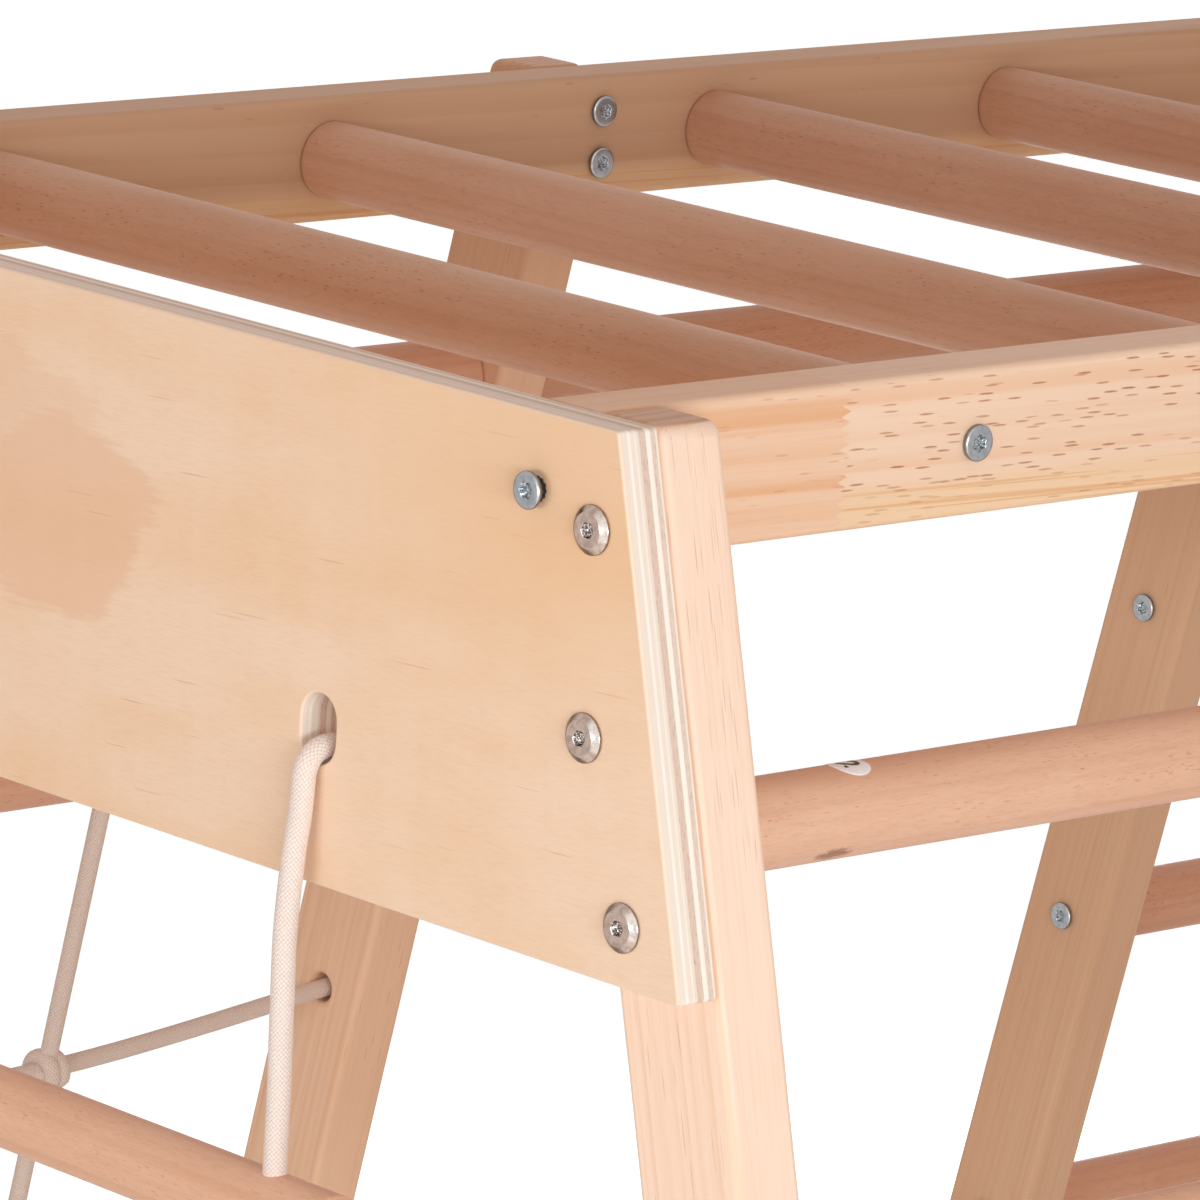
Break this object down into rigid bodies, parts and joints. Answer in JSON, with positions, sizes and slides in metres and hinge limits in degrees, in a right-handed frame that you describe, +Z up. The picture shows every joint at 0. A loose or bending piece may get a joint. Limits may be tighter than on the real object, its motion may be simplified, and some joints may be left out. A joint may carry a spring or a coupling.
{
  "type": "wooden climbing cube",
  "caption": "Children's climbing frame of slanted pine legs with rungs, monkey bars between top rails, plywood end boards, a rope net and a rope ladder.",
  "frame": {"origin": "on the floor, under the middle of the box that the frame and the ladder's rungs fill", "axes": "+Z up, +Y along the top rails from the board with the rope ladder to the plain board, +X to the right-hand row of legs"},
  "size_m": [1.259, 1.553, 1.26],
  "materials": {
    "pine": "planed pine, clear satin lacquer",
    "plywood": "sanded plywood, clear satin lacquer, plies bare at the edges",
    "beech": "turned beech, clear satin lacquer",
    "cotton": "braided off-white cotton rope",
    "nickel": "nickel-plated steel",
    "zinc": "zinc-plated steel"
  },
  "bodies": {
    "frame": {"leg_right_front": "pine", "leg_right_mid_front": "pine", "leg_right_mid_back": "pine", "leg_right_back": "pine", "leg_left_front": "pine", "leg_left_mid_front": "pine", "leg_left_mid_back": "pine", "leg_left_back": "pine", "top_rail_right": "pine", "top_rail_left": "pine", "board_front": "plywood", "board_back": "plywood", "monkey_bar_1": "beech", "monkey_bar_2": "beech", "monkey_bar_3": "beech", "monkey_bar_4": "beech", "monkey_bar_5": "beech", "monkey_bar_6": "beech", "monkey_bar_7": "beech", "rung_right_front_1": "beech", "rung_right_front_2": "beech", "rung_right_front_3": "beech", "rung_right_front_4": "beech", "rung_right_front_5": "beech", "rung_right_front_6": "beech", "rung_right_front_7": "beech", "rung_right_mid_1": "beech", "rung_right_back_1": "beech", "rung_right_back_7": "beech", "rung_left_front_1": "beech", "rung_left_front_2": "beech", "rung_left_front_7": "beech", "rung_left_mid_1": "beech", "rung_left_back_1": "beech", "rung_left_back_2": "beech", "rung_left_back_3": "beech", "rung_left_back_4": "beech", "rung_left_back_5": "beech", "rung_left_back_6": "beech", "rung_left_back_7": "beech", "connector_bolt_right_1": "nickel", "connector_bolt_right_2": "nickel", "connector_bolt_right_3": "nickel", "connector_bolt_left_1": "nickel", "connector_bolt_left_2": "nickel", "connector_bolt_left_3": "nickel", "board_screw_right": "zinc", "board_screw_left": "zinc", "rope_net": "cotton", "ladder_rope_anchor_right": "cotton", "ladder_rope_anchor_left": "cotton"},
    "rope_ladder": {"ladder_rope_right": "cotton", "ladder_rope_left": "cotton", "ladder_rung_1": "beech", "ladder_rung_2": "beech", "ladder_rung_3": "beech", "ladder_rung_4": "beech", "ladder_rung_5": "beech"}
  },
  "joints": [
    {"name": "ladder_swing", "type": "hinge", "parent": "frame", "child": "rope_ladder", "pos_m": [0, -0.75865, 1.1045], "axis": [-1, 0, 0], "range_deg": [0, 40]}
  ]
}
